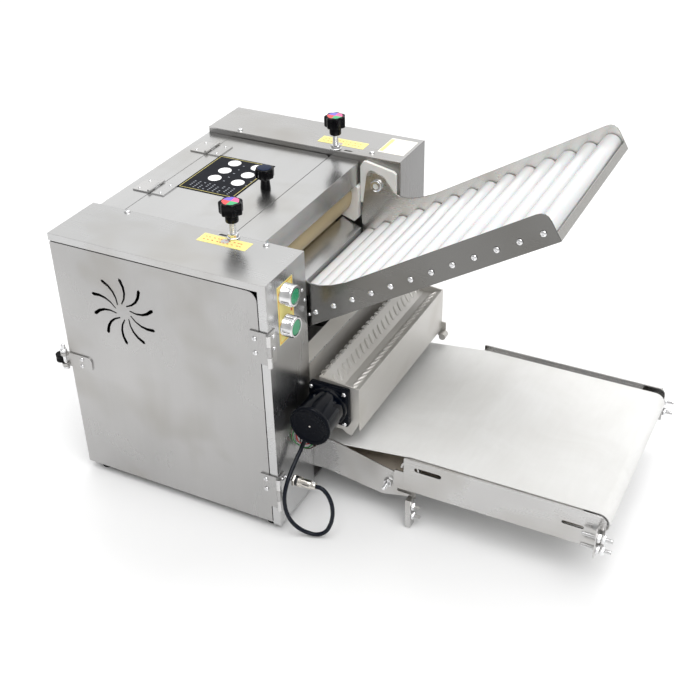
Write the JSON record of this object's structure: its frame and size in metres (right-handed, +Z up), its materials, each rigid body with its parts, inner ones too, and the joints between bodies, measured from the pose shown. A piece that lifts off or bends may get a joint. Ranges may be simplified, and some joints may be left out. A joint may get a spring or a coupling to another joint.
{
  "type": "dough sheeter",
  "caption": "Bench dough sheeter: roller tray feeds a pair of adjustable rollers between steel housings, then a flour duster and a belt table.",
  "frame": {"origin": "centre of the footprint on the surface it stands on, cable and plug left out", "axes": "+X towards the outfeed end of the belt table, +Y from the near housing with the door to the far housing, +Z up"},
  "size_m": [0.8, 0.4976, 0.5152],
  "materials": {
    "stainless": "satin brushed, polished edges",
    "plate_steel": "ground",
    "chrome": "polished",
    "aluminium": "satin",
    "white_plastic": "smooth, slightly translucent",
    "tan_sleeve": "smooth satin",
    "black_gloss": "gloss lacquer",
    "black_rubber": "satin",
    "green_plastic": "moulded",
    "canvas": "fine weave, coated",
    "yellow_label": "printed film",
    "panel_black": "printed film"
  },
  "bodies": {
    "frame": {"near_housing": "stainless", "far_housing": "stainless", "near_side_plate": "plate_steel", "far_side_plate": "plate_steel", "base_pan": "stainless", "centre_cover": "stainless", "lid_hinge_near": "stainless", "lid_hinge_far": "stainless", "door_hinge_upper": "stainless", "door_hinge_lower": "stainless", "far_side_cover": "stainless", "near_cheek": "white_plastic", "far_cheek": "white_plastic", "near_pivot_block": "white_plastic", "far_pivot_block": "white_plastic", "feed_plate": "stainless", "main_motor": "aluminium", "drive_belt": "black_rubber", "duster_box": "stainless", "duster_motor": "black_gloss", "motor_cable": "black_rubber", "cable_plug": "chrome", "cable_socket": "chrome", "conveyor_arms": "stainless", "conveyor_frame": "stainless", "conveyor_belt": "canvas"},
    "lid_panel": {"lid": "stainless", "lid_knob": "black_gloss"},
    "door": {"near_door": "stainless"},
    "latch": {"door_latch": "chrome"},
    "carriage": {"near_bearing_block": "plate_steel", "far_bearing_block": "plate_steel"},
    "upper_roller_set": {"upper_roller": "tan_sleeve", "upper_gear": "plate_steel"},
    "lower_roller_set": {"lower_roller": "chrome", "lower_gear": "plate_steel"},
    "near_knob": {"near_thickness_knob": "black_gloss"},
    "far_knob": {"far_thickness_knob": "black_gloss"},
    "motor_output": {"motor_pulley": "plate_steel"},
    "belt_drive": {"belt_drive_roller": "plate_steel"},
    "belt_return": {"belt_return_roller": "plate_steel"},
    "belt_nose": {"belt_nose_roller": "aluminium"},
    "agitator": {"duster_agitator": "white_plastic"},
    "tray": {"infeed_tray": "stainless"},
    "run_cap": {"run_button": "green_plastic"},
    "stop_cap": {"stop_button": "green_plastic"},
    "tray_roller_01_body": {"tray_roller_01": "white_plastic"},
    "tray_roller_02_body": {"tray_roller_02": "white_plastic"},
    "tray_roller_03_body": {"tray_roller_03": "white_plastic"},
    "tray_roller_04_body": {"tray_roller_04": "white_plastic"},
    "tray_roller_05_body": {"tray_roller_05": "white_plastic"},
    "tray_roller_06_body": {"tray_roller_06": "white_plastic"},
    "tray_roller_07_body": {"tray_roller_07": "white_plastic"},
    "tray_roller_08_body": {"tray_roller_08": "white_plastic"},
    "tray_roller_09_body": {"tray_roller_09": "white_plastic"},
    "tray_roller_10_body": {"tray_roller_10": "white_plastic"},
    "tray_roller_11_body": {"tray_roller_11": "white_plastic"},
    "tray_roller_12_body": {"tray_roller_12": "white_plastic"},
    "tray_roller_13_body": {"tray_roller_13": "white_plastic"},
    "tray_roller_14_body": {"tray_roller_14": "white_plastic"}
  },
  "joints": [
    {"name": "door_hinge", "type": "hinge", "parent": "frame", "child": "door", "pos_m": [-0.04, -0.24325, 0.2], "axis": [0, 0, 1], "range_deg": [0, 105]},
    {"name": "latch_turn", "type": "hinge", "parent": "door", "child": "latch", "pos_m": [-0.385, -0.24225, 0.1995], "axis": [0, 0, 1], "range_deg": [0, 90]},
    {"name": "lid_hinge", "type": "hinge", "parent": "frame", "child": "lid_panel", "pos_m": [-0.336, 0.00975, 0.395], "axis": [0, -1, 0], "range_deg": [0, 110]},
    {"name": "roller_lift", "type": "slide", "parent": "frame", "child": "carriage", "axis": [0, 0, 1], "range_m": [0, 0.008]},
    {"name": "near_knob_turn", "type": "hinge", "parent": "frame", "child": "near_knob", "pos_m": [-0.145, -0.14575, 0.42], "axis": [0, 0, -1], "range_deg": [0, 1920]},
    {"name": "far_knob_turn", "type": "hinge", "parent": "frame", "child": "far_knob", "pos_m": [-0.154, 0.16525, 0.42], "axis": [0, 0, -1], "range_deg": [0, 1920]},
    {"name": "lower_roller_spin", "type": "hinge", "parent": "frame", "child": "lower_roller_set", "pos_m": [-0.148, 0.00975, 0.263], "axis": [0, 1, 0], "continuous": true},
    {"name": "upper_roller_spin", "type": "hinge", "parent": "carriage", "child": "upper_roller_set", "pos_m": [-0.154, 0.00975, 0.338], "axis": [0, 1, 0], "continuous": true},
    {"name": "motor_pulley_spin", "type": "hinge", "parent": "frame", "child": "motor_output", "pos_m": [-0.3, 0.18075, 0.205], "axis": [0, 1, 0], "continuous": true},
    {"name": "belt_drive_spin", "type": "hinge", "parent": "frame", "child": "belt_drive", "pos_m": [-0.228, 0.00975, 0.049], "axis": [0, 1, 0], "continuous": true},
    {"name": "belt_return_spin", "type": "hinge", "parent": "frame", "child": "belt_return", "pos_m": [0.077, 0.00975, 0.059], "axis": [0, 1, 0], "continuous": true},
    {"name": "belt_nose_spin", "type": "hinge", "parent": "frame", "child": "belt_nose", "pos_m": [0.374, 0.00975, 0.0967], "axis": [0, 1, 0], "continuous": true},
    {"name": "agitator_spin", "type": "hinge", "parent": "frame", "child": "agitator", "pos_m": [-0.01, 0.00975, 0.173], "axis": [0, 1, 0], "continuous": true},
    {"name": "tray_tilt", "type": "hinge", "parent": "frame", "child": "tray", "pos_m": [-0.078, 0.00975, 0.361], "axis": [0, -1, 0], "range_deg": [0, 40]},
    {"name": "tray_roller_01_spin", "type": "hinge", "parent": "tray", "child": "tray_roller_01_body", "pos_m": [-0.0876, 0.00975, 0.2747], "axis": [0, 1, 0], "continuous": true},
    {"name": "tray_roller_02_spin", "type": "hinge", "parent": "tray", "child": "tray_roller_02_body", "pos_m": [-0.06029, 0.00975, 0.29137], "axis": [0, 1, 0], "continuous": true},
    {"name": "tray_roller_03_spin", "type": "hinge", "parent": "tray", "child": "tray_roller_03_body", "pos_m": [-0.03297, 0.00975, 0.30805], "axis": [0, 1, 0], "continuous": true},
    {"name": "tray_roller_04_spin", "type": "hinge", "parent": "tray", "child": "tray_roller_04_body", "pos_m": [-0.00566, 0.00975, 0.32472], "axis": [0, 1, 0], "continuous": true},
    {"name": "tray_roller_05_spin", "type": "hinge", "parent": "tray", "child": "tray_roller_05_body", "pos_m": [0.02166, 0.00975, 0.34139], "axis": [0, 1, 0], "continuous": true},
    {"name": "tray_roller_06_spin", "type": "hinge", "parent": "tray", "child": "tray_roller_06_body", "pos_m": [0.04897, 0.00975, 0.35806], "axis": [0, 1, 0], "continuous": true},
    {"name": "tray_roller_07_spin", "type": "hinge", "parent": "tray", "child": "tray_roller_07_body", "pos_m": [0.07628, 0.00975, 0.37473], "axis": [0, 1, 0], "continuous": true},
    {"name": "tray_roller_08_spin", "type": "hinge", "parent": "tray", "child": "tray_roller_08_body", "pos_m": [0.1036, 0.00975, 0.39141], "axis": [0, 1, 0], "continuous": true},
    {"name": "tray_roller_09_spin", "type": "hinge", "parent": "tray", "child": "tray_roller_09_body", "pos_m": [0.13091, 0.00975, 0.40808], "axis": [0, 1, 0], "continuous": true},
    {"name": "tray_roller_10_spin", "type": "hinge", "parent": "tray", "child": "tray_roller_10_body", "pos_m": [0.15822, 0.00975, 0.42475], "axis": [0, 1, 0], "continuous": true},
    {"name": "tray_roller_11_spin", "type": "hinge", "parent": "tray", "child": "tray_roller_11_body", "pos_m": [0.18554, 0.00975, 0.44142], "axis": [0, 1, 0], "continuous": true},
    {"name": "tray_roller_12_spin", "type": "hinge", "parent": "tray", "child": "tray_roller_12_body", "pos_m": [0.21285, 0.00975, 0.45809], "axis": [0, 1, 0], "continuous": true},
    {"name": "tray_roller_13_spin", "type": "hinge", "parent": "tray", "child": "tray_roller_13_body", "pos_m": [0.24016, 0.00975, 0.47477], "axis": [0, 1, 0], "continuous": true},
    {"name": "tray_roller_14_spin", "type": "hinge", "parent": "tray", "child": "tray_roller_14_body", "pos_m": [0.26748, 0.00975, 0.49144], "axis": [0, 1, 0], "continuous": true},
    {"name": "run_press", "type": "slide", "parent": "frame", "child": "run_cap", "axis": [-1, 0, 0], "range_m": [0, 0.004], "stiffness_N_per_m": 500, "springref_m": -0.002},
    {"name": "stop_press", "type": "slide", "parent": "frame", "child": "stop_cap", "axis": [-1, 0, 0], "range_m": [0, 0.004], "stiffness_N_per_m": 500, "springref_m": -0.002}
  ],
  "couplings": [
    {"joint": "near_knob_turn", "follows": "roller_lift", "rad_per_m": 4188.8},
    {"joint": "far_knob_turn", "follows": "roller_lift", "rad_per_m": 4188.8},
    {"joint": "upper_roller_spin", "follows": "lower_roller_spin", "ratio": -1},
    {"joint": "motor_pulley_spin", "follows": "lower_roller_spin", "ratio": 1.8333},
    {"joint": "belt_drive_spin", "follows": "lower_roller_spin", "ratio": -1.6818},
    {"joint": "belt_return_spin", "follows": "lower_roller_spin", "ratio": 4.625},
    {"joint": "belt_nose_spin", "follows": "lower_roller_spin", "ratio": -2.6429}
  ]
}
